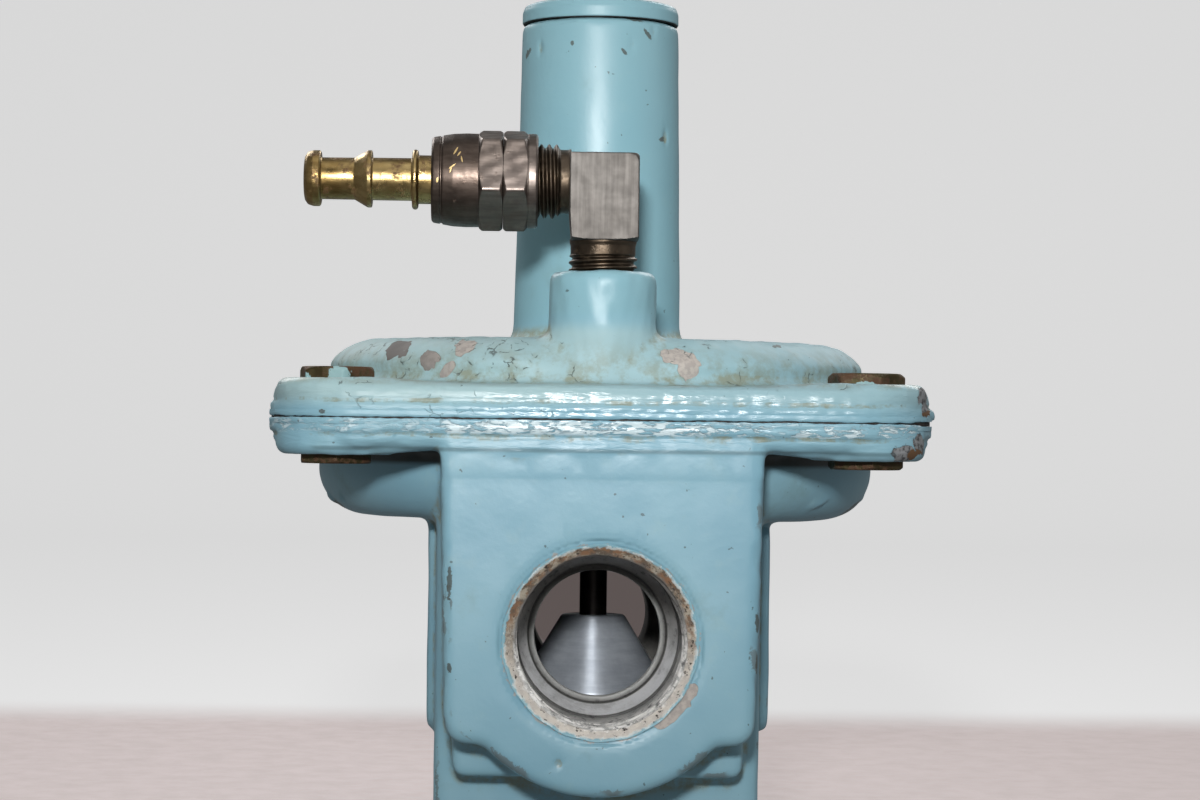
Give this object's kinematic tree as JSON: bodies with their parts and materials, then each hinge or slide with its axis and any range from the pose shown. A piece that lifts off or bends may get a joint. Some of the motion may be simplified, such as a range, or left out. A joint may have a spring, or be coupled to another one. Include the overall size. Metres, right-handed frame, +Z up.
{
  "type": "air pressure regulator",
  "caption": "Diaphragm air pressure regulator with a spring tower, threaded through ports, a cone valve and a side loading elbow with a barbed hose end.",
  "frame": {"origin": "centre of the bottom face, on the common axis of tower, stem, valve and seat", "axes": "+Z up along the tower, -Y out of the front port, -X along the hose end"},
  "size_m": [0.1218, 0.1218, 0.17],
  "materials": {
    "body_paint": "worn semi-gloss paint",
    "fastener_steel": "rusty zinc plate",
    "diaphragm_rubber": "matte",
    "plate_steel": "satin",
    "stem_steel": "dark satin",
    "plug_aluminium": "turned",
    "soft_disc": "matte",
    "seat_brass": "turned",
    "spring_steel": "satin",
    "elbow_steel": "brushed",
    "bronze": "tarnished",
    "barb_brass": "worn turned",
    "seal_rubber": "matte"
  },
  "bodies": {
    "housing": {"lower_body": "body_paint", "upper_cover": "body_paint", "flange_bolts": "fastener_steel", "flange_nuts": "fastener_steel", "diaphragm": "diaphragm_rubber", "seat_ring": "seat_brass", "seat_seal": "seal_rubber", "guide_plate": "plug_aluminium", "stem_bushing": "seat_brass", "plate_circlip": "spring_steel", "range_spring": "spring_steel", "pipe_elbow": "elbow_steel", "swivel_nut": "bronze", "swivel_wire": "spring_steel"},
    "valve_train": {"lower_diaphragm_plate": "plate_steel", "upper_diaphragm_plate": "plate_steel", "stem_jam_nut": "plate_steel", "lock_washer": "plate_steel", "stem_nut": "plate_steel", "lower_spring_seat": "plate_steel", "valve_stem": "stem_steel", "valve_plug": "plug_aluminium", "valve_disc": "soft_disc", "disc_washer": "plate_steel", "disc_nut": "plate_steel"},
    "spring_seat": {"upper_spring_seat": "plate_steel"},
    "adjuster": {"adjusting_screw": "seat_brass"},
    "cap_seal": {"cap_gasket": "seal_rubber"},
    "cap": {"tower_cap": "body_paint"},
    "hose_end": {"hose_end_body": "bronze", "hose_barb": "barb_brass"}
  },
  "joints": [
    {"name": "valve_lift", "type": "slide", "parent": "housing", "child": "valve_train", "axis": [0, 0, 1], "range_m": [0, 0.008], "stiffness_N_per_m": 6000, "springref_m": -0.012, "deforming": ["range_spring", "diaphragm"]},
    {"name": "adjuster_travel", "type": "slide", "parent": "housing", "child": "spring_seat", "axis": [0, 0, -1], "range_m": [-0.003, 0.009], "deforming": ["range_spring"]},
    {"name": "adjuster_turn", "type": "hinge", "parent": "spring_seat", "child": "adjuster", "pos_m": [0, 0, 0.1495], "axis": [0, 0, -1], "range_deg": [-720, 2160]},
    {"name": "cap_travel", "type": "slide", "parent": "housing", "child": "cap_seal", "axis": [0, 0, 1], "range_m": [0, 0.009]},
    {"name": "cap_turn", "type": "hinge", "parent": "cap_seal", "child": "cap", "pos_m": [0, 0, 0.1668], "axis": [0, 0, 1], "range_deg": [0, 2160]},
    {"name": "hose_end_swivel", "type": "hinge", "parent": "housing", "child": "hose_end", "pos_m": [-0.0186, -0.0415, 0.132], "axis": [1, 0, 0], "continuous": true}
  ],
  "couplings": [
    {"joint": "adjuster_travel", "follows": "adjuster_turn", "m_per_rad": 0.0002387},
    {"joint": "cap_travel", "follows": "cap_turn", "m_per_rad": 0.0002387}
  ]
}
